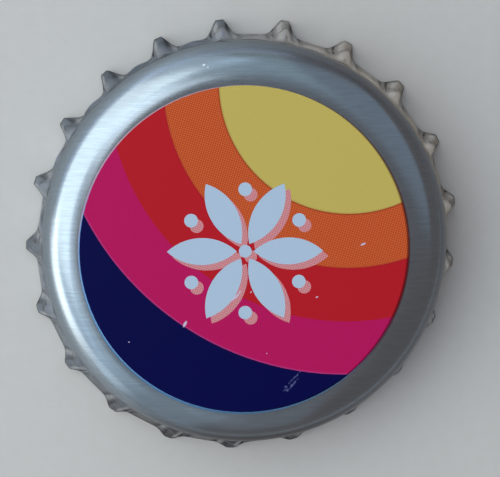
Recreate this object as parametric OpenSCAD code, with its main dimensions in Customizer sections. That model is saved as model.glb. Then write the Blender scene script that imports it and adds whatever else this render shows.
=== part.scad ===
// Pry-off bottle cap: a fluted tinplate shell with a moulded sealing liner inside and a
// printed top panel. It has been opened once, so its skirt is spread and a little oval.
// It lies face up on the rim of its skirt: +Z points up through the panel, and the origin
// is the centre of the rim plane. Millimetres.

/* [Tinplate] */
// Height of the shell, from the rim to the top panel
shell_h = 6.2; // [5.9:0.1:6.8]
// Outside diameter over the shoulder
shoulder_d = 27.1; // [26.9:0.1:27.5]
// Width of the elliptic bend between panel and skirt
bend_w = 2.65; // [2.4:0.05:2.9]
// Height of the elliptic bend
bend_h = 1.9; // [1.7:0.1:2.3]
// Thickness of the tinplate
sheet_t = 0.235; // [0.2:0.005:0.28]

/* [Skirt] */
// Number of flutes pressed round the skirt
flutes = 21; // [19:2:23]
// Diameter of the rim in the valleys between the flutes
valley_d = 28.66; // [28.3:0.02:28.9]
// Diameter of the rim over the crests of the flutes
crest_d = 30.06; // [29.8:0.02:30.8]
// Width of a flute's blunt crest at the rim
crest_w = 0.55; // [0.4:0.05:0.7]
// Width of a flute over both its feet at the rim
foot_w = 2.7; // [2.4:0.1:3]
// Width of a flute over both its feet where it leaves the shoulder
foot_w_top = 2.4; // [2:0.1:2.6]
// How far a crest's edge stays above the valleys' edge
crest_lift = 0.25; // [0.1:0.05:0.4]
// Direction of the first flute, in degrees
first_flute = 10; // [0:0.5:17]

/* [Marks of the opener] */
// How far the rim is pulled out along one diameter and pushed in across it
oval = 0.25; // [0:0.01:0.35]
// Direction of the rim's long diameter, in degrees
oval_angle = 51; // [0:1:180]
// Direction of the side that was levered off, in degrees
levered_side = 279; // [0:1:360]
// How far the rim is pulled towards the levered side
levered_pull = 0.46; // [0:0.01:0.5]
// How far the flutes are flattened on the levered side, and stand prouder across from it
levered_flattening = 0.39; // [0:0.01:0.45]
// How far the flutes are pushed off their even pitch, in degrees
flute_drift = 0.42; // [0:0.02:0.6]

/* [Liner] */
// Thickness of the membrane in the middle of the liner
membrane_t = 0.25; // [0.2:0.05:0.4]
// Thickness of the ring that the bottle's lip presses on
pad_t = 0.87; // [0.7:0.01:1.1]
// Radius of the ridge inside the pressed ring, at its middle
inner_ridge_r = 9.35; // [9:0.05:9.6]
// Radius of the ridge outside the pressed ring, at its middle
outer_ridge_r = 12.2; // [11.9:0.05:12.3]

/* [Print] */
// Diameter of the printed disc
print_d = 21.72; // [18:0.02:22]
// How far the print lies to the left of the cap's centre
print_left = 0.14; // [0:0.01:0.2]
// How far the print lies below the cap's centre
print_down = 0.22; // [0:0.01:0.25]
// Thickness of the ink
ink_t = 0.03; // [0.02:0.01:0.05]
// Distance from the cap's centre to the centre of the colour arcs
fan_distance = 13; // [12:0.5:15]
// Direction of the centre of the colour arcs, in degrees
fan_angle = 58; // [0:1:90]
// Radius of the first colour arc
first_arc_r = 8.6; // [8:0.1:9]
// Width of each colour band between the arcs
band_w = 3.6; // [3.2:0.1:3.8]
// Length of a petal of the white rosette
petal_l = 4.6; // [3.6:0.1:4.8]
// Width of a petal at its middle
petal_w = 1.8; // [1.2:0.1:2]
// Distance from the rosette's centre to the root of a petal
petal_root = 0.55; // [0.45:0.05:0.9]
// How far the rosette's shadow is printed to the right and down
shadow_shift = 0.36; // [0.2:0.02:0.46]

/* [Hidden] */
$fn = 96;

// ---- Fluted shell -----------------------------------------------------------------
// The outer face is one surface over two parameters. a is the angle round the cap in
// degrees, with a crest at every multiple of the pitch. w runs down the section: 0 to 1
// round the bend, then 1 to 2 down the skirt. The inner face lies sheet_t behind it.

pitch = 360 / flutes;
panel_r = shoulder_d / 2 - bend_w;
bend_z = shell_h - bend_h;
// Columns of points in one pitch, crowded so that one falls on each edge of the crest
columns = 12;
crowding = 1.15;
outer_stations = [0, 0.2, 0.4, 0.6, 0.8, 1, 1.1, 1.2, 1.4, 1.6, 1.8, 1.9, 2];
inner_stations = [2, 1.8, 1.5, 1.2, 1.1, 1, 0.75, 0.5, 0.25, 0];
// How the valleys gain radius down the skirt: 1 is a straight cone
valley_flare = 1.2;
// How late the crests flare out to their full height at the rim
crest_flare = 4;
// 0 leaves a hard corner beside the crest, 3 rounds it into the flank
crest_rounding = 1.5;
// The bottle's lip leaves a belly in the upper skirt, fullest at this part of the way down
swell_top = 0.2;
// How the belly fades towards the rim: 1 is straight
swell_fall = 0.8;
// What the belly adds to a crest, as a part of its height at the rim
crest_swell = 0.78;
// What it adds to the whole wall, and in the middle between two flutes, on the side that
// wasn't levered
wall_swell = 0.1;
pillow_swell = 0.22;
// The flutes' drift is two waves, once and three times round, with these leads in degrees
drift_lead_1 = -170;
drift_lead_3 = 46;
// Steps of the two parameters over which the normal is taken
a_step = 0.05;
w_step = 0.01;

function clamp(x, low, high) = max(low, min(high, x));
function mix(p, q, t) = p + (q - p) * t;
function arc_mm(degrees) = degrees * PI / 180 * valley_d / 2;
function from_crest(a) = abs(a - pitch * round(a / pitch));

// Height of a flute's section at a distance from its crest: 1 on the crest, which is blunt
// at the rim and sharper up the skirt, then a flank that sweeps out into a concave foot
function flank(t) = pow(1 - t, 3) * (1 + crest_rounding * t);
function flute(distance, crest, foot) = flank(clamp((distance - crest) / (foot - crest), 0, 1));
function flute_at(a, s) = flute(arc_mm(from_crest(a)), crest_w / 2 * s * s, mix(foot_w_top, foot_w, s) / 2);

// How full the belly is down the skirt, and how full it is left between two flutes
function ease(t) = t * t * (3 - 2 * t);
function swell(s) = ease(min(1, s / swell_top)) * pow((1 - s) / (1 - swell_top), swell_fall);
function pillow(a) = pow((1 - cos(360 * a / pitch)) / 2, 2);

// The wall runs straight between two flutes, as a chord of the rim
function chord(a) = 1 / cos(min(pitch / 2 - from_crest(a), pitch / 2 - foot_w / valley_d * 180 / PI));

// The real direction of a column, once the flutes are pushed off their even pitch
function drift(a) = cos(a + drift_lead_1) + cos(3 * (a + drift_lead_3));
function bearing(a) = first_flute + a + flute_drift * drift(a);

function towards_lever(a) = cos(bearing(a) - levered_side);
function rim_pull(a) = oval * cos(2 * (bearing(a) - oval_angle)) + levered_pull * towards_lever(a);
function crest_h(a) = (crest_d - valley_d) / 2 - levered_flattening * towards_lever(a);

function belly(a, s) = swell(s) * (wall_swell + pillow_swell * pillow(a)) * (1 - towards_lever(a)) / 2;

function skirt_r(a, s) =
    mix(shoulder_d / 2, valley_d / 2 * chord(a), pow(s, valley_flare))
    + belly(a, s)
    + crest_h(a) * (pow(s, crest_flare) + crest_swell * swell(s)) * flute_at(a, s)
    + rim_pull(a) * s;
function skirt_z(a, s) = mix(bend_z, crest_lift * flute_at(a, 1), s);

function bend(turn) = [panel_r + bend_w * sin(turn), bend_z + bend_h * cos(turn)];
function section(a, w) = w < 1 ? bend(90 * w) : [skirt_r(a, w - 1), skirt_z(a, w - 1)];
function outer_point(a, w) =
    let (p = section(a, w))
    [p[0] * cos(bearing(a)), p[0] * sin(bearing(a)), p[1]];
function outward(a, w) =
    let (
        along = outer_point(a + a_step, w) - outer_point(a - a_step, w),
        down = outer_point(a, min(2, w + w_step)) - outer_point(a, max(0, w - w_step)),
        n = cross(down, along)
    )
    n / norm(n);
function inner_point(a, w) =
    let (p = outer_point(a, w) - sheet_t * outward(a, w))
    [p[0], p[1], max(0, p[2])];

function column_angle(i) =
    let (k = i % columns - columns / 2)
    pitch * (floor(i / columns) + sign(k) * pow(abs(2 * k / columns), crowding) / 2);

module cap_shell() {
    around = flutes * columns;
    points = concat(
        [for (w = outer_stations) for (i = [0 : around - 1]) outer_point(column_angle(i), w)],
        [for (w = inner_stations) for (i = [0 : around - 1]) inner_point(column_angle(i), w)]
    );
    rings = len(outer_stations) + len(inner_stations);
    walls = [
        for (j = [0 : rings - 2]) for (i = [0 : around - 1])
            let (
                here = j * around + i,
                beside = j * around + (i + 1) % around,
                below = here + around,
                below_beside = beside + around
            )
            each [[here, beside, below_beside], [here, below_beside, below]]
    ];
    panel_top = [for (i = [around - 1 : -1 : 0]) i];
    panel_under = [for (i = [0 : around - 1]) (rings - 1) * around + i];
    color("lightsteelblue")
        polyhedron(points = points, faces = concat([panel_top, panel_under], walls), convexity = 8);
}

// ---- Liner ------------------------------------------------------------------------
// Moulded against the inside of the shell, with a hair's gap round the bend.

bend_gap = 0.05;
// Degrees between two points of the liner's outline round the bend
bend_step = 7.5;
// Flat of the pad between its inner wall and the inner ridge
ridge_land = 0.05;
inner_ridge_h = 0.35;
outer_ridge_h = 0.5;
liner_top = shell_h - sheet_t;
pad_z = liner_top - pad_t;
pad_inner_r = inner_ridge_r - inner_ridge_h - ridge_land;

function across_bend(turn) =
    let (n = [bend_h * sin(turn), bend_w * cos(turn)])
    n / norm(n);

module inside_of_bend() {
    polygon(concat(
        [[0, bend_z], [0, liner_top], [panel_r, liner_top]],
        [for (turn = [0 : bend_step : 90]) bend(turn) - (sheet_t + bend_gap) * across_bend(turn)]
    ));
}

module liner_section() {
    intersection() {
        inside_of_bend();
        union() {
            translate([0, liner_top - membrane_t])
                square([panel_r, membrane_t]);
            translate([pad_inner_r, pad_z])
                square([shoulder_d / 2 - pad_inner_r, pad_t]);
            translate([inner_ridge_r, pad_z])
                circle(r = inner_ridge_h);
            translate([outer_ridge_r, pad_z])
                circle(r = outer_ridge_h);
        }
    }
}

module liner() {
    color("ivory")
        rotate_extrude()
            liner_section();
}

// ---- Print ------------------------------------------------------------------------
// Fields of colour between arcs round one centre, and a six-petal compass rosette with
// a shifted shadow. The ink films lie side by side on the panel.

arcs = [for (i = [0 : 3]) first_arc_r + i * band_w];
petals = 6;
// A petal is what two compass arcs of this radius share
petal_r = (pow(petal_l, 2) + pow(petal_w, 2)) / (4 * petal_w);
dot_r = 0.45;
dot_ring = 4.1;
heart_r = 0.42;

module petal() {
    translate([petal_root + petal_l / 2, 0])
        intersection_for (side = [-1, 1])
            translate([0, side * (petal_r - petal_w / 2)])
                circle(r = petal_r);
}

module rosette() {
    circle(r = heart_r);
    for (i = [0 : petals - 1]) {
        rotate(i * 360 / petals)
            petal();
        rotate((i + 0.5) * 360 / petals)
            translate([dot_ring, 0])
                circle(r = dot_r);
    }
}

module rosette_shadow() {
    difference() {
        translate([shadow_shift, -shadow_shift])
            rosette();
        rosette();
    }
}

module fan_disc(r) {
    rotate(fan_angle)
        translate([fan_distance, 0])
            circle(r = r);
}

module ink(tint) {
    color(tint)
        translate([-print_left, -print_down, shell_h])
            linear_extrude(ink_t)
                children();
}

// A band of the fan, from one arc to the next, clear of the rosette and its shadow
module band(from_r, to_r) {
    difference() {
        intersection() {
            circle(d = print_d);
            fan_disc(to_r);
        }
        fan_disc(from_r);
        rosette();
        translate([shadow_shift, -shadow_shift])
            rosette();
    }
}

module print_yellow() {
    ink("khaki")
        band(0, arcs[0]);
}

module print_orange() {
    ink("chocolate")
        band(arcs[0], arcs[1]);
}

module print_red() {
    ink("crimson")
        band(arcs[1], arcs[2]);
}

module print_magenta() {
    ink("mediumvioletred")
        band(arcs[2], arcs[3]);
}

module print_navy() {
    ink("midnightblue")
        band(arcs[3], fan_distance + print_d);
}

module print_white() {
    ink("aliceblue")
        rosette();
}

module print_shadow() {
    ink("lightpink")
        rosette_shadow();
}

cap_shell();
liner();
print_yellow();
print_orange();
print_red();
print_magenta();
print_navy();
print_white();
print_shadow();
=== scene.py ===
from math import asin, atan2, cos, degrees, hypot, pi, radians, sin

import bpy
from mathutils import Matrix, Quaternion, Vector


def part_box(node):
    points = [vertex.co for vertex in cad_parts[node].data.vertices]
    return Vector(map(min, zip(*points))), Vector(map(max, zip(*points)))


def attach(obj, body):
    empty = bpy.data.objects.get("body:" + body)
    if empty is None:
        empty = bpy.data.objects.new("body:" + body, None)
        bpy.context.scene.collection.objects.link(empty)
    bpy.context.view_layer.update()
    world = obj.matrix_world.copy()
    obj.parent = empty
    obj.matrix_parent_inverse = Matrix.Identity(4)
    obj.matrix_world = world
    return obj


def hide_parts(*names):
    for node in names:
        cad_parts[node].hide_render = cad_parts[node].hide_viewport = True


# A used pry-off bottle cap, lying face up on its rim. The shell is pressed again here with a finer
# mesh. The liner and the films of ink are the construction's own solids, and get their finishes here.

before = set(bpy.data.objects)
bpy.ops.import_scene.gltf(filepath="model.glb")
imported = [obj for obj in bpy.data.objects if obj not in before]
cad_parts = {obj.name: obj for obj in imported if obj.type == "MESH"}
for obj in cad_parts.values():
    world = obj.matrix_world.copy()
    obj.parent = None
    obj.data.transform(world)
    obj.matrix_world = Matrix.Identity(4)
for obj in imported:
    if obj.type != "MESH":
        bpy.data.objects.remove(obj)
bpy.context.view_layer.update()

MM = 0.001

# ---- The cap's sizes, in millimetres and degrees, as its construction has them -------------

SHELL_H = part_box("cap_shell")[1].z / MM
SHEET_T = 0.235
SHOULDER_R = 13.55
BEND_W = 2.65
BEND_H = 1.9
PANEL_R = SHOULDER_R - BEND_W
BEND_Z = SHELL_H - BEND_H
# The bend's mean radius, and how far from the sheet's centre it ends, measured along the sheet
BEND_R = (BEND_W + BEND_H) / 2
SHEET_BEND_END = PANEL_R + BEND_R * pi / 2

# The flutes, each with a blunt crest and concave feet
FLUTES = 21
PITCH = 360 / FLUTES
FIRST_FLUTE = 10
VALLEY_R = 14.33
CREST_R = 15.03
CREST_W = 0.55
FOOT_W = 2.7
FOOT_W_TOP = 2.4
CREST_LIFT = 0.25
VALLEY_FLARE = 1.2
CREST_FLARE = 4

# The belly that the bottle's lip left in the upper skirt. It begins more gently than on the
# construction's solid, which has only a few rows of facets to give it with
CREST_SWELL = 0.78
WALL_SWELL = 0.1
PILLOW = 0.22
SWELL_TOP = 0.34
SWELL_FALL = 0.8

# The opener's marks: the rim is oval, one side is pulled out with its flutes flattened, and the
# flutes are pushed off their even pitch
OVAL = 0.25
OVAL_ANGLE = 51
LEVERED_SIDE = 279
LEVERED_PULL = 0.46
LEVERED_FLATTENING = 0.39
FLUTE_DRIFT = 0.42
DRIFT_LEAD_1 = -170
DRIFT_LEAD_3 = 46

# ---- The fine mesh of the shell ------------------------------------------------------------

# Columns of faces for each flute, the widths of two rings at the panel's edge, and the number of
# rings on the bend and on the skirt
COLUMNS = 26
PANEL_RINGS = (0.25, 0.4)
BEND_RINGS = 16
SKIRT_RINGS = 22
# The shears leave the rim's two edges a little rounded
RIM_ROUND = 0.03

# ---- The print, in millimetres -------------------------------------------------------------

# The printed disc, which lies off the centre of the cap
PRINT_R = 10.86
PRINT_CENTRE = (-0.14, -0.22)
# Its bands are rings round one point just outside it, and end at these radii
FAN_DISTANCE = 13
FAN_ANGLE = 58
FAN_CENTRE = (
    PRINT_CENTRE[0] + FAN_DISTANCE * cos(radians(FAN_ANGLE)),
    PRINT_CENTRE[1] + FAN_DISTANCE * sin(radians(FAN_ANGLE)))
FAN_RADII = (8.6, 12.2, 15.8, 19.4)
# Two crossed waves of this length make the halftone screen, with two dots to each of their squares
HALFTONE_WAVE = 0.156
# Where two bands meet, their inks overlap or leave a gap, in a line that fades over this width
TRAP_W = 0.112

# Each ink: its flat tint, the tint of its dots, how much of the dots shows, the screen's angle, and the
# lines along its edges, each with its radius, the side of it that fades (-1 is inwards), tint and strength
INKS = {
    "yellow": ("#D4C16C", "#B4A14B", 0.8, 18, ((FAN_RADII[0], -1, "#A4592A", 0.5),)),
    "orange": ("#E36F3F", "#AB3710", 1.0, 33, (
        (FAN_RADII[0], 1, "#8A2A18", 0.8), (FAN_RADII[1], -1, "#B23324", 0.5))),
    "red": ("#C0222D", "#AF061C", 0.6, 33, ((FAN_RADII[1], 1, "#A01C26", 0.6),)),
    "magenta": ("#C11C63", "#B20050", 0.6, 48, ((FAN_RADII[3], -1, "#B656A4", 0.6),)),
    "navy": ("#01064B", "#00003A", 0.6, 48, ((FAN_RADII[3], 1, "#260038", 0.8),)),
    "white": ("#BACEE5", "#A8BED7", 0.6, 63, ()),
    "shadow": ("#E4A5A8", "#B8455A", 0.75, 33, ()),
}

# The magenta, the red and the cyan plate had slipped, and each left a thin line past the print's edge:
# how far it slipped in x and y, and the line's tint, its strength and how opaque it is on the metal
SLIPPED_PLATES = (
    (-0.09, 0.01, "#E0B4CC", 0.75, 1.0),
    (0.097, -0.026, "#6A1A26", 0.8, 0.3),
    (-0.075, -0.13, "#70ABE4", 0.95, 0.15))
# They also leave a dark crescent inside the print's edge, on the right
CRESCENT_TINT = "#98888E"
CRESCENT_CENTRE = (PRINT_CENTRE[0] - 0.132, PRINT_CENTRE[1] + 0.048)
# The radii at which the slipped lines and the crescent begin and are full
SLIPPED_EDGE = (PRINT_R + 0.04, PRINT_R - 0.03)
CRESCENT_EDGE = (PRINT_R - 0.03, PRINT_R + 0.06)

# ---- The wear, in millimetres and degrees --------------------------------------------------

# Small oval marks, each with its x and y, its angle, half its length and half its width. A mark begins
# and is full at these shares of its half sizes
MARK_EDGE = (1.15, 0.6)
METAL_NICKS = ((-2.8, 11.96, 30, 0.11, 0.07), (-2.55, 11.8, 10, 0.06, 0.04))
INK_NICKS = (
    (-0.79, -3.28, 42, 0.42, 0.085), (-0.5, -2.93, 42, 0.12, 0.05), (-4.13, -5.05, 62, 0.24, 0.1),
    (-7.83, -6.22, 0, 0.05, 0.035), (4.62, -3.33, 20, 0.1, 0.05), (0.97, -2.89, 0, 0.07, 0.06),
    (0.24, -2.95, 60, 0.08, 0.04), (7.66, 0.19, 25, 0.2, 0.07), (1.29, -7.09, 50, 0.06, 0.025))
# Something skipped over the ink and left a broken trail, which widens at its lower end
INK_SCRAPES = (
    (3.48, -8.42, 53, 0.4, 0.06), (2.97, -8.95, 47, 0.58, 0.065), (2.97, -9.29, 47, 0.66, 0.09),
    (2.57, -9.41, 30, 0.13, 0.11), (2.56, -9.67, 10, 0.19, 0.12))

# Bands along the sheet, by where each begins and where it is full, counted from the end of the bend:
# the rubbed bend, with painted shade on one side, a band of painted shade, and the handled skirt
RUBBED_AND_SHADED = (-1.75, -1.4)
SHADED_BAND = (-1.1, -0.3)
HANDLED = (-0.4, 0.1)
# The direction round the cap along which painted shade darkens the bend and painted light and shade tint the
# skirt
LIGHT_AND_SHADE_SIDE = -15

# Upright lines on each flute: how far they lie from its crest, half their width and their strength.
# Lines of painted shade lie at its feet, on its flanks and down its face, and lines of painted highlight
# beside its crest
SHADE_LINES = ((1.15, 0.28, 1), (-1.15, 0.28, 1), (0.74, 0.22, 1), (-0.46, 0.36, 1), (-0.08, 0.4, 0.45))
GLINT_LINES = ((0.36, 0.24, 0.8), (-0.84, 0.2, 0.8))

# ---- Patterns of the rolled sheet, in features to the millimetre along and across it -------

# The rolls' lines are a few hundredths of a millimetre apart, drawn 0.05 mm apart so that they show
ROLLED_LINES = (0.9, 19.0, 1.0)
ROLLED_BANDS = (0.35, 4.5, 1.0)
# The gold lacquer fills the finest lines, and leaves streaks 0.14 mm wide
LACQUER_STREAKS = (0.35, 7.0, 1.0)

# ---- The room ------------------------------------------------------------------------------

# Lamps that face the cap from half a metre away: azimuth and elevation in degrees, width and height
# in metres, radiance, tint, and a turn about the lamp's own axis in degrees
LAMP_DISTANCE = 0.5
LAMPS = {
    "window_core": (163, 44, 0.33, 0.40, 0.45, "#E8FDFF", 0),
    "window": (156, 43, 0.60, 0.43, 1.34, "#FCFFF6", 0),
    "window_wash": (155, 40, 1.20, 0.64, 0.52, "#D6EAFF", 0),
    "low_window_core": (200, 19, 0.22, 0.15, 1.00, "#FFFAED", 0),
    "low_window": (200, 18, 0.36, 0.24, 0.85, "#FFFAED", 0),
    "low_window_wash": (207, 14, 0.56, 0.34, 0.55, "#E8F0F4", 0),
    "low_haze": (143, 9, 0.50, 0.20, 0.30, "#D6EAFF", 0),
    "top_light": (138, 74, 0.15, 0.15, 2.00, "#F4FBFF", 0),
    "side_light": (206, 66, 0.14, 0.12, 0.80, "#E8F4FF", 0),
    "back_floor_light": (98, 8, 0.50, 0.22, 0.38, "#CFE2FF", 0),
    "left_wall": (216, 35, 0.31, 0.47, 0.46, "#D9F1FF", 0),
    "front_wall": (243, 35, 0.29, 0.58, 0.30, "#CCEDFF", 0),
    "front_wall_wash": (277, 45, 0.20, 0.38, 0.13, "#D8EEFF", 0),
    "back_wall": (95, 45, 0.36, 0.62, 0.20, "#E0FFFB", 0),
    "right_wall": (46, 50, 0.58, 0.54, 0.25, "#C0E4FF", 44),
}
ROOM_TINT = "#7C7472"
# The side of the board that the cap lies on, in metres
BOARD_W = 3

# The camera's place in millimetres, its right and its up
CAMERA_PLACE = (-5.484, 14.005, 103.749)
CAMERA_RIGHT = (0.99832, 0.0, 0.05793)
CAMERA_UP = (0.00786, 0.99075, -0.13549)
# Its focal length and the width of its sensor, in millimetres
FOCAL_LENGTH = 108
SENSOR_W = 36


# ---- Small helpers -------------------------------------------------------------------------

def linear(hex_colour):
    """An sRGB hex colour as linear red, green, blue and alpha"""
    channels = [int(hex_colour[i:i + 2], 16) / 255 for i in (1, 3, 5)]
    return *[c / 12.92 if c <= 0.04045 else ((c + 0.055) / 1.055) ** 2.4 for c in channels], 1.0


def add(tree, kind, inputs=None, **settings):
    """Adds a node. Each input is given a value, or another node's output to link to"""
    node = tree.nodes.new(kind)
    for name, value in settings.items():
        setattr(node, name, value)
    for name, value in (inputs or {}).items():
        if isinstance(value, bpy.types.NodeSocket):
            tree.links.new(value, node.inputs[name])
        else:
            node.inputs[name].default_value = value
    return node


def new_material(name):
    """An empty node material and its tree"""
    material = bpy.data.materials.new(name)
    material.use_nodes = True
    material.node_tree.nodes.clear()
    return material, material.node_tree


def deselect_all():
    """Clears the selection, so that an operator acts only on what is picked after it"""
    for thing in bpy.context.selected_objects:
        thing.select_set(False)


def mix(p, q, t):
    """The number a share t of the way from p to q"""
    return p + (q - p) * t


def cos_deg(angle):
    """The cosine of an angle in degrees"""
    return cos(radians(angle))


# ---- The fluted form -----------------------------------------------------------------------
# a is the angle round the cap in degrees, with a crest at every multiple of the pitch, and
# s runs from 0 at the top of the skirt to 1 at the rim.

def past_crest(a):
    """How far past the nearest crest an angle lies, in degrees, with a sign"""
    return a - PITCH * round(a / PITCH)


def flute(a, s):
    """Height of a flute's section: 1 on the crest, blunter towards the rim, then a concave foot"""
    distance = radians(abs(past_crest(a))) * VALLEY_R
    half_crest = CREST_W / 2 * s ** 2
    half_foot = mix(FOOT_W_TOP, FOOT_W, s) / 2
    t = min(1, max(0, (distance - half_crest) / (half_foot - half_crest)))
    return (1 - t) ** 3 * (1 + 1.5 * t)


def swell(s):
    """How full the belly in the upper skirt is: 1 at its fullest"""
    t = min(1, s / SWELL_TOP)
    return t * t * (3 - 2 * t) * ((1 - s) / (1 - SWELL_TOP)) ** SWELL_FALL


def pillow(a):
    """1 in the middle between two flutes, where the belly is left fullest, and 0 on a crest"""
    return ((1 - cos_deg(360 * a / PITCH)) / 2) ** 2


def chord(a):
    """The wall runs straight between two flutes, as a chord of the rim"""
    half_foot = degrees(FOOT_W / 2 / VALLEY_R)
    return 1 / cos_deg(min(PITCH / 2 - abs(past_crest(a)), PITCH / 2 - half_foot))


def bearing(a):
    """The real direction of a column, once the flutes are pushed off their even pitch"""
    drift = cos_deg(a + DRIFT_LEAD_1) + cos_deg(3 * (a + DRIFT_LEAD_3))
    return FIRST_FLUTE + a + FLUTE_DRIFT * drift


def skirt_point(a, s):
    """Radius and height of the skirt's outer face, with the pull of the opener"""
    lever = cos_deg(bearing(a) - LEVERED_SIDE)
    pull = OVAL * cos_deg(2 * (bearing(a) - OVAL_ANGLE)) + LEVERED_PULL * lever
    crest = CREST_R - VALLEY_R - LEVERED_FLATTENING * lever
    wall = mix(SHOULDER_R, VALLEY_R * chord(a), s ** VALLEY_FLARE)
    belly = swell(s) * (WALL_SWELL + PILLOW * pillow(a)) * (1 - lever) / 2
    rise = crest * (s ** CREST_FLARE + CREST_SWELL * swell(s)) * flute(a, s)
    return wall + belly + rise + pull * s, mix(BEND_Z, CREST_LIFT * flute(a, 1), s)


# ---- The shell -----------------------------------------------------------------------------

def pull_ring(radius_from, radius_to, z_from, z_to):
    """Extrudes the selected ring of edges to a new radius and height"""
    bpy.ops.mesh.extrude_edges_move(TRANSFORM_OT_translate={"value": (0, 0, (z_to - z_from) * MM)})
    scale = radius_to / radius_from
    bpy.ops.transform.resize(value=(scale, scale, 1), center_override=(0, 0, 0))


def draw_cup():
    """Draws a round blank into a plain cup: panel, bend and a straight skirt"""
    deselect_all()
    bpy.ops.mesh.primitive_circle_add(
        vertices=FLUTES * COLUMNS, radius=PANEL_R * MM, fill_type="NGON", location=(0, 0, SHELL_H * MM))
    cup = bpy.context.object
    bpy.ops.object.transform_apply(location=True, rotation=True, scale=True)
    bpy.ops.object.mode_set(mode="EDIT")
    bpy.ops.mesh.select_all(action="SELECT")
    for ring in PANEL_RINGS:
        bpy.ops.mesh.inset(thickness=ring * MM)
    bpy.ops.mesh.select_all(action="SELECT")
    bpy.ops.mesh.region_to_loop()
    radius, z = PANEL_R, SHELL_H
    for i in range(1, BEND_RINGS + 1):
        turn = pi / 2 * i / BEND_RINGS
        new_radius, new_z = PANEL_R + BEND_W * sin(turn), BEND_Z + BEND_H * cos(turn)
        pull_ring(radius, new_radius, z, new_z)
        radius, z = new_radius, new_z
    for i in range(1, SKIRT_RINGS + 1):
        new_z = BEND_Z * (1 - i / SKIRT_RINGS)
        pull_ring(SHOULDER_R, SHOULDER_R, z, new_z)
        z = new_z
    bpy.ops.object.mode_set(mode="OBJECT")
    return cup


def mark_sheet(cup):
    """Gives each point its place on the flat sheet, in millimetres, so the grain follows the metal"""
    sheet = cup.data.uv_layers.new(name="sheet")
    for loop in cup.data.loops:
        x, y, z = cup.data.vertices[loop.vertex_index].co / MM
        radius = hypot(x, y)
        along = radius
        if radius > PANEL_R:
            turn = asin(min(1, (radius - PANEL_R) / BEND_W))
            along = PANEL_R + BEND_R * turn + max(0, BEND_Z - z)
        scale = along / max(radius, 1e-6)
        sheet.data[loop.index].uv = (x * scale, y * scale)


def line_at(value, middle, half_width):
    """1 on the middle of a line, falling to 0 at its half width"""
    return max(0, 1 - abs(value - middle) / half_width)


def strongest_line(a, lines):
    """How strong the upright lines of a flute are at an angle"""
    across = radians(past_crest(a)) * VALLEY_R
    return max(strength * line_at(across, middle, half_width) for middle, half_width, strength in lines)


def painted_shade_depth(a, s):
    """How much painted shade a place gets: dark lines at a flute's feet, on its flanks and face, under the
    shoulder and behind the rim
    """
    flanks = strongest_line(a, SHADE_LINES) * min(1, 2 * s)
    shoulder = line_at(s, 0.05, 0.06)
    behind_rim = 12 * (s - 0.92)
    return min(1, max(flanks, shoulder, behind_rim))


def ridge_glint(a, s):
    """How strong the painted highlight is on the lines beside a flute's crest"""
    return strongest_line(a, GLINT_LINES) * min(1, 2.5 * s) * (s < 0.93)


def press_flutes(cup):
    """Presses the flutes into the straight skirt, and spreads it as the opener did"""
    # Each point keeps how much painted shade and painted highlight it gets
    crease = cup.data.attributes.new("crease", "FLOAT", "POINT")
    ridge = cup.data.attributes.new("ridge", "FLOAT", "POINT")
    for vertex in cup.data.vertices:
        x, y, z = vertex.co / MM
        a = degrees(atan2(y, x))
        radius = hypot(x, y)
        if z < BEND_Z - 1e-6:
            s = min(1, 1 - z / BEND_Z)
            crease.data[vertex.index].value = painted_shade_depth(a, s)
            ridge.data[vertex.index].value = ridge_glint(a, s)
            radius, z = skirt_point(a, s)
        turn = radians(bearing(a))
        if radius > PANEL_R - 1e-3:
            vertex.co = Vector((radius * cos(turn), radius * sin(turn), z)) * MM


def give_thickness(cup):
    """Gives the sheet its thickness inwards, cuts the rim flat and rounds its sheared edges"""
    bpy.context.view_layer.objects.active = cup
    cup.select_set(True)
    wall = cup.modifiers.new("wall", "SOLIDIFY")
    wall.thickness = SHEET_T * MM
    wall.offset = -1
    wall.use_even_offset = True
    wall.material_offset = 1
    wall.material_offset_rim = 2
    bpy.ops.object.modifier_apply(modifier="wall")
    for vertex in cup.data.vertices:
        vertex.co.z = max(0, vertex.co.z)
    edge = cup.modifiers.new("edge", "BEVEL")
    edge.width = RIM_ROUND * MM
    edge.segments = 2
    edge.limit_method = "ANGLE"
    edge.angle_limit = radians(55)
    bpy.ops.object.modifier_apply(modifier="edge")
    bpy.ops.object.shade_smooth_by_angle(angle=radians(50))


def make_shell():
    """The fluted shell, finer and rounder than the solid that it stands for"""
    shell = draw_cup()
    shell.name = "pressed_shell"
    shell.data.name = "pressed_shell"
    press_flutes(shell)
    mark_sheet(shell)
    for finish in (tinplate(), inside_lacquer(), sheared_edge()):
        shell.data.materials.append(finish)
    give_thickness(shell)
    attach(shell, "root")
    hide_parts("cap_shell")


# ---- Patterns for the materials ------------------------------------------------------------

def lay_over(tree, under, tint, value, none=0.0, full=1.0, strength=1.0, within=1.0, way="MIX"):
    """A tint laid over a colour: nothing where the value is at none, its strength at full, within a mask"""
    reach = add(tree, "ShaderNodeMapRange", {
        "Value": value, "From Min": none, "From Max": full, "To Max": strength})
    cover = add(tree, "ShaderNodeMath", {0: reach.outputs[0], 1: within}, operation="MULTIPLY")
    return add(tree, "ShaderNodeMix", {"Factor": cover.outputs[0], "A": under, "B": linear(tint)},
               data_type="RGBA", blend_type=way).outputs["Result"]


def flat_distance(tree, place, x, y, angle=0, half_length=1, half_width=1):
    """How far a point lies from x, y seen from above, in millimetres or in the half sizes of an oval"""
    oval = add(tree, "ShaderNodeMapping", {
        "Vector": place, "Location": (x * MM, y * MM, 0.0), "Rotation": (0.0, 0.0, radians(angle)),
        "Scale": (half_length * MM, half_width * MM, 1.0)}, vector_type="TEXTURE")
    return add(tree, "ShaderNodeVectorMath", {0: oval.outputs[0]}, operation="LENGTH").outputs["Value"]


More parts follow.
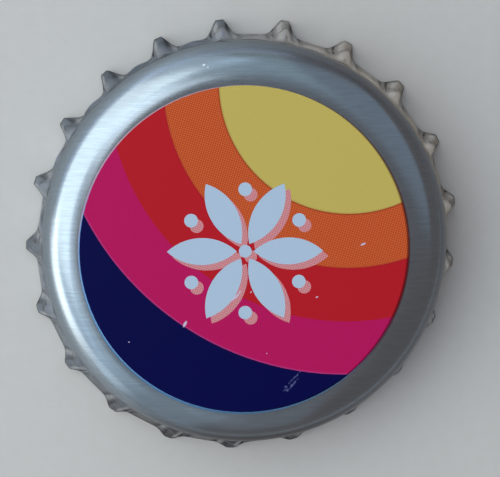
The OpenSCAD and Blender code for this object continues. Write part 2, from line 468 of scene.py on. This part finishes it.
def mark_mask(tree, place, marks):
    """A mask of small ovals with soft edges"""
    mask = 0.0
    for mark in marks:
        oval = add(tree, "ShaderNodeMapRange", {
            "Value": flat_distance(tree, place, *mark), "From Min": MARK_EDGE[0], "From Max": MARK_EDGE[1]})
        mask = add(tree, "ShaderNodeMath", {0: mask, 1: oval.outputs[0]}, operation="MAXIMUM").outputs[0]
    return mask


def rolled_grain(tree, sheet):
    """The fine lines that the rolls left along the sheet, in faint broader bands"""
    line_space = add(tree, "ShaderNodeMapping", {"Vector": sheet, "Scale": ROLLED_LINES})
    line = add(tree, "ShaderNodeTexNoise", {
        "Vector": line_space.outputs[0], "Scale": 1.0, "Detail": 3.0, "Roughness": 0.6})
    band_space = add(tree, "ShaderNodeMapping", {"Vector": sheet, "Scale": ROLLED_BANDS})
    band = add(tree, "ShaderNodeTexNoise", {
        "Vector": band_space.outputs[0], "Scale": 1.0, "Detail": 2.0, "Roughness": 0.5})
    return add(tree, "ShaderNodeMix", {
        "Factor": 0.35, "A": line.outputs["Fac"], "B": band.outputs["Fac"]}).outputs["Result"]


def slipped_lines(tree, place, colour):
    """Lays the slipped plates' lines on the metal. Gives the colour, and how bare the metal is left"""
    bare = 1.0
    for x, y, tint, strength, opacity in SLIPPED_PLATES:
        reach = flat_distance(tree, place, PRINT_CENTRE[0] + x, PRINT_CENTRE[1] + y)
        film = add(tree, "ShaderNodeMapRange", {
            "Value": reach, "From Min": SLIPPED_EDGE[0], "From Max": SLIPPED_EDGE[1], "To Max": strength})
        colour = lay_over(tree, colour, tint, film.outputs[0])
        bare = add(tree, "ShaderNodeMath", {0: film.outputs[0], 1: -opacity, 2: bare},
                   operation="MULTIPLY_ADD", use_clamp=True).outputs[0]
    return colour, bare


def screen_dots(tree, place, angle):
    """A halftone screen: 1 in the middle of each dot, and 0 between the dots"""
    wave = 2 * pi / (HALFTONE_WAVE * MM)
    screen = add(tree, "ShaderNodeMapping", {
        "Vector": place, "Rotation": (0.0, 0.0, radians(angle)), "Scale": (wave, wave, wave)})
    along = add(tree, "ShaderNodeSeparateXYZ", {"Vector": screen.outputs[0]})
    rows = add(tree, "ShaderNodeMath", {0: along.outputs["X"]}, operation="SINE")
    columns = add(tree, "ShaderNodeMath", {0: along.outputs["Y"]}, operation="SINE")
    dots = add(tree, "ShaderNodeMath", {0: rows.outputs[0], 1: columns.outputs[0]}, operation="MULTIPLY")
    return add(tree, "ShaderNodeMapRange", {
        "Value": dots.outputs[0], "From Min": -0.5, "From Max": 0.5}).outputs[0]


# ---- Materials -----------------------------------------------------------------------------

def tinplate():
    """Tinplate, cold rolled and lacquered: satin, with a fine straight grain that the rolls left"""
    material, tree = new_material("tinplate_cold_rolled")
    sheet = add(tree, "ShaderNodeUVMap", uv_map="sheet").outputs["UV"]
    place = add(tree, "ShaderNodeTexCoord").outputs["Object"]
    grain = rolled_grain(tree, sheet)
    colour = lay_over(tree, linear("#939FA9"), "#A5B1BB", grain, 0.32, 0.68)
    colour, bare = slipped_lines(tree, place, colour)
    colour = lay_over(tree, colour, "#DCE6EE", mark_mask(tree, place, METAL_NICKS))

    # Outwards along the sheet, the varnish is first rubbed dull, then comes a band of painted shade, then the
    # skirt worn by handling
    outwards = add(tree, "ShaderNodeVectorMath", {0: sheet}, operation="LENGTH").outputs["Value"]
    rubbed_and_shaded, shaded_band, handled = [
        add(tree, "ShaderNodeMapRange", {
            "Value": outwards, "From Min": SHEET_BEND_END + begins,
            "From Max": SHEET_BEND_END + full}).outputs[0]
        for begins, full in (RUBBED_AND_SHADED, SHADED_BAND, HANDLED)]

    # How far a place lies towards the side where light and shade are painted, towards the side left of that,
    # and towards the back
    turned = add(tree, "ShaderNodeMapping", {
        "Vector": place, "Rotation": (0.0, 0.0, radians(LIGHT_AND_SHADE_SIDE))}, vector_type="TEXTURE")
    towards = add(tree, "ShaderNodeSeparateXYZ", {"Vector": turned.outputs[0]}).outputs
    painted_side_way, left_way = towards["X"], towards["Y"]
    back_way = add(tree, "ShaderNodeSeparateXYZ", {"Vector": place}).outputs["Y"]
    # Painted shade darkens the rubbed bend on that side and at the front, standing in for darker reflections
    # there
    colour = lay_over(tree, colour, "#4B3F40", painted_side_way, -8 * MM, 4 * MM, 0.68, within=rubbed_and_shaded)
    colour = lay_over(tree, colour, "#45393A", back_way, -10.5 * MM, -13.2 * MM, 0.6, within=rubbed_and_shaded)
    # Painted shade over the outer bend, darkening the floor that it reflects
    colour = lay_over(tree, colour, "#444A52", shaded_band, strength=0.45)

    # The skirt is patchy from handling, 1.3 mm to a patch. Painted light makes it paler and warmer on the
    # right, and painted shade darker at the back left and dark at the front
    patches = add(tree, "ShaderNodeTexNoise", {
        "Vector": place, "Scale": 0.8 / MM, "Detail": 1.5, "Roughness": 0.5}).outputs["Fac"]
    lit_way = add(tree, "ShaderNodeMath", {0: painted_side_way, 1: left_way}, operation="ADD").outputs[0]
    shaded_way = add(tree, "ShaderNodeMath", {0: left_way, 1: painted_side_way}, operation="SUBTRACT").outputs[0]
    skirt = lay_over(tree, linear("#BEC6D2"), "#989DA4", patches, 0.3, 0.7)
    skirt = lay_over(tree, skirt, "#DDD2C6", lit_way, 6 * MM, 17 * MM, 0.8)
    skirt = lay_over(tree, skirt, "#828A94", shaded_way, 17.2 * MM, 20 * MM, 0.75)
    skirt = lay_over(tree, skirt, "#5A5352", back_way, -8.5 * MM, -13.5 * MM, 0.75)
    colour = add(tree, "ShaderNodeMix", {"Factor": handled, "A": colour, "B": skirt},
                 data_type="RGBA").outputs["Result"]

    # Painted highlights lie as white lines beside the crests, and painted shade as dark lines in the creases,
    # down the flute faces, under the shoulder and behind the rim
    ridge = add(tree, "ShaderNodeAttribute", attribute_name="ridge").outputs["Fac"]
    colour = lay_over(tree, colour, "#FFFFFF", patches, 0.8, 0.55, within=ridge)
    crease = add(tree, "ShaderNodeAttribute", attribute_name="crease").outputs["Fac"]
    shade_and_dirt = add(tree, "ShaderNodeMapRange", {
        "Value": patches, "From Min": 0.85, "From Max": 0.5, "To Max": crease}).outputs[0]
    colour = lay_over(tree, colour, "#1C1614", shade_and_dirt)
    # The dark lines of painted shade are also made less metallic, as dirt
    bare = add(tree, "ShaderNodeMath", {0: bare, 1: shade_and_dirt}, operation="SUBTRACT", use_clamp=True).outputs[0]

    # The worn skirt doesn't flare up at a low angle as clean metal does
    worn = add(tree, "ShaderNodeMath", {0: handled, 1: 0.8}, operation="MULTIPLY").outputs[0]
    low_angle = add(tree, "ShaderNodeMix", {"Factor": worn, "A": linear("#FFFFFF"), "B": colour},
                    data_type="RGBA").outputs["Result"]

    # The varnish is cloudy, in patches 2 mm wide, and dull where it is rubbed. The die stretched and
    # polished the skirt, so it is shinier than the top, and the dark lines of painted shade are matt
    cloud = add(tree, "ShaderNodeTexNoise", {
        "Vector": sheet, "Scale": 0.45, "Detail": 3.0, "Roughness": 0.55})
    roughness = add(tree, "ShaderNodeMapRange", {
        "Value": cloud.outputs["Fac"], "From Min": 0.3, "From Max": 0.7,
        "To Min": 0.19, "To Max": 0.23}).outputs[0]
    for mask, rough in ((rubbed_and_shaded, 0.3), (handled, 0.14), (shade_and_dirt, 0.7)):
        roughness = add(tree, "ShaderNodeMix", {"Factor": mask, "A": roughness, "B": rough}).outputs["Result"]

    # The grain is in slight relief, and the skirt is full of shallow dents 0.8 mm wide
    bump = add(tree, "ShaderNodeBump", {"Height": grain, "Strength": 0.25, "Distance": 0.003 * MM})
    uneven = add(tree, "ShaderNodeTexNoise", {"Vector": place, "Scale": 1.3 / MM, "Detail": 1.0})
    dented = add(tree, "ShaderNodeMath", {0: uneven.outputs["Fac"], 1: handled}, operation="MULTIPLY")
    dents = add(tree, "ShaderNodeBump", {
        "Height": dented.outputs[0], "Strength": 0.7, "Distance": 0.16 * MM, "Normal": bump.outputs[0]})
    tangent = add(tree, "ShaderNodeTangent", direction_type="UV_MAP", uv_map="sheet")
    shader = add(tree, "ShaderNodeBsdfPrincipled", {
        "Base Color": colour, "Metallic": bare, "Roughness": roughness, "Specular IOR Level": 0.2,
        "Specular Tint": low_angle, "Anisotropic": 0.6, "Anisotropic Rotation": 0.25,
        "Tangent": tangent.outputs[0], "Normal": dents.outputs[0]})
    add(tree, "ShaderNodeOutputMaterial", {"Surface": shader.outputs[0]})
    return material


def inside_lacquer():
    """Tinplate under a clear gold lacquer, rolled on before pressing: warm satin, faintly streaked"""
    material, tree = new_material("tinplate_gold_lacquer")
    sheet = add(tree, "ShaderNodeUVMap", uv_map="sheet").outputs["UV"]
    streak_space = add(tree, "ShaderNodeMapping", {"Vector": sheet, "Scale": LACQUER_STREAKS})
    streaks = add(tree, "ShaderNodeTexNoise", {
        "Vector": streak_space.outputs[0], "Scale": 1.0, "Detail": 4.0, "Roughness": 0.65})
    colour = lay_over(tree, linear("#A79C84"), "#BCB197", streaks.outputs["Fac"])
    shader = add(tree, "ShaderNodeBsdfPrincipled", {"Base Color": colour, "Metallic": 1.0, "Roughness": 0.3})
    add(tree, "ShaderNodeOutputMaterial", {"Surface": shader.outputs[0]})
    return material


def sheared_edge():
    """The bare steel of the sheared rim, torn by the shears: dull and speckled light and dark"""
    material, tree = new_material("steel_sheared_edge")
    place = add(tree, "ShaderNodeTexCoord").outputs["Object"]
    # The torn grains are drawn a sixth of a millimetre wide, coarser than they are, so that they show
    burr = add(tree, "ShaderNodeTexNoise", {"Vector": place, "Scale": 6 / MM, "Detail": 2.0})
    colour = lay_over(tree, linear("#5A5450"), "#A5A19C", burr.outputs["Fac"])
    shader = add(tree, "ShaderNodeBsdfPrincipled", {"Base Color": colour, "Metallic": 1.0, "Roughness": 0.42})
    add(tree, "ShaderNodeOutputMaterial", {"Surface": shader.outputs[0]})
    return material


def ink(name, tint, dot_tint, dot_share, screen_angle, edges):
    """Litho ink on white coat under a matt varnish, as flat colour with a halftone screen in it"""
    material, tree = new_material(name)
    place = add(tree, "ShaderNodeTexCoord").outputs["Object"]
    dots = screen_dots(tree, place, screen_angle)
    colour = lay_over(tree, linear(tint), dot_tint, dots, strength=dot_share)
    reach = flat_distance(tree, place, *FAN_CENTRE)
    for radius, side, line_tint, strength in edges:
        colour = lay_over(tree, colour, line_tint, reach, radius + side * TRAP_W, radius, strength)
    reach = flat_distance(tree, place, *CRESCENT_CENTRE)
    colour = lay_over(tree, colour, CRESCENT_TINT, reach, *CRESCENT_EDGE, way="MULTIPLY")
    # Nicks through the ink show the white coat, and so do the scrape's strokes, 0.2 mm long
    colour = lay_over(tree, colour, "#CFC4DE", mark_mask(tree, place, INK_NICKS))
    skips = add(tree, "ShaderNodeTexNoise", {"Vector": place, "Scale": 6 / MM, "Detail": 1.0}).outputs["Fac"]
    scrape = mark_mask(tree, place, INK_SCRAPES)
    colour = lay_over(tree, colour, "#7F88C0", skips, 0.4, 0.6, 0.42, within=scrape)
    # The varnish has a slight orange peel, 0.4 mm from one rise to the next
    peel = add(tree, "ShaderNodeTexNoise", {"Vector": place, "Scale": 2.5 / MM, "Detail": 3.0})
    bump = add(tree, "ShaderNodeBump", {
        "Height": peel.outputs["Fac"], "Strength": 0.2, "Distance": 0.004 * MM})
    shader = add(tree, "ShaderNodeBsdfPrincipled", {
        "Base Color": colour, "Roughness": 0.42, "Specular IOR Level": 0.1, "Normal": bump.outputs[0]})
    add(tree, "ShaderNodeOutputMaterial", {"Surface": shader.outputs[0]})
    return material


def liner_compound():
    """Foamed polyethylene, moulded in place: ivory, a little translucent, smooth from the punch"""
    material, tree = new_material("polyethylene_moulded")
    place = add(tree, "ShaderNodeTexCoord").outputs["Object"]
    # The melt flowed out in faint clouds 1.7 mm wide
    flow = add(tree, "ShaderNodeTexNoise", {"Vector": place, "Scale": 0.6 / MM, "Detail": 3.0})
    colour = lay_over(tree, linear("#DAD6C8"), "#EDEADF", flow.outputs["Fac"])
    shader = add(tree, "ShaderNodeBsdfPrincipled", {
        "Base Color": colour, "Roughness": 0.38, "IOR": 1.51, "Subsurface Weight": 0.25,
        "Subsurface Scale": 0.4 * MM, "Subsurface Radius": (1.0, 0.9, 0.7)})
    add(tree, "ShaderNodeOutputMaterial", {"Surface": shader.outputs[0]})
    return material


def studio_board():
    """Uncoated studio board: matt and pale, with a faint fibre 0.8 mm long"""
    material, tree = new_material("board_uncoated")
    place = add(tree, "ShaderNodeTexCoord").outputs["Object"]
    fibre = add(tree, "ShaderNodeTexNoise", {"Vector": place, "Scale": 1.2 / MM, "Detail": 4.0})
    colour = lay_over(tree, linear("#CBC9C7"), "#D1CFCE", fibre.outputs["Fac"])
    shader = add(tree, "ShaderNodeBsdfPrincipled", {
        "Base Color": colour, "Roughness": 0.9, "Specular IOR Level": 0.2})
    add(tree, "ShaderNodeOutputMaterial", {"Surface": shader.outputs[0]})
    return material


# ---- The stage -----------------------------------------------------------------------------

def softbox(name, azimuth, elevation, width, height, radiance, tint, roll):
    """A square-edged soft lamp that faces the cap, with its brightness given as radiance"""
    lamp = bpy.data.lights.new(name, "AREA")
    lamp.shape = "RECTANGLE"
    lamp.size = width
    lamp.size_y = height
    lamp.energy = radiance * pi * width * height
    lamp.color = linear(tint)[:3]
    away = Vector((
        cos_deg(azimuth) * cos_deg(elevation),
        sin(radians(azimuth)) * cos_deg(elevation),
        sin(radians(elevation))))
    stand = bpy.data.objects.new(name, lamp)
    stand.location = away * LAMP_DISTANCE
    stand.rotation_mode = "QUATERNION"
    stand.rotation_quaternion = away.to_track_quat("Z", "Y") @ Quaternion((0, 0, 1), radians(roll))
    stand.visible_camera = False
    bpy.context.scene.collection.objects.link(stand)


def make_stage():
    """Pale board under the cap, and a plain dim room with windows and walls round it"""
    deselect_all()
    bpy.ops.mesh.primitive_plane_add(size=BOARD_W)
    board = bpy.context.object
    board.name = "board"
    board.data.materials.append(studio_board())
    world = bpy.data.worlds.new("room")
    world.use_nodes = True
    world.node_tree.nodes["Background"].inputs["Color"].default_value = linear(ROOM_TINT)
    world.node_tree.nodes["Background"].inputs["Strength"].default_value = 1.0
    bpy.context.scene.world = world
    for name, recipe in LAMPS.items():
        softbox(name, *recipe)


def make_camera():
    """Looks down on the cap from a little behind it, as through a phone's long lens"""
    lens = bpy.data.cameras.new("camera")
    lens.sensor_width = SENSOR_W
    lens.lens = FOCAL_LENGTH
    lens.clip_start = 0.005
    lens.clip_end = 10
    camera = bpy.data.objects.new("camera", lens)
    right = Vector(CAMERA_RIGHT)
    up = Vector(CAMERA_UP)
    turned = Matrix((right, up, right.cross(up))).transposed().to_4x4()
    camera.matrix_world = Matrix.Translation(Vector(CAMERA_PLACE) * MM) @ turned
    bpy.context.scene.collection.objects.link(camera)
    bpy.context.scene.camera = camera


# ---- Everything together -------------------------------------------------------------------

make_shell()
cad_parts["liner"].data.materials.clear()
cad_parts["liner"].data.materials.append(liner_compound())
for colour_name, recipe in INKS.items():
    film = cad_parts["print_" + colour_name]
    film.data.materials.clear()
    film.data.materials.append(ink("litho_ink_" + colour_name, *recipe))
make_stage()
make_camera()

bpy.context.scene.view_settings.view_transform = "Standard"
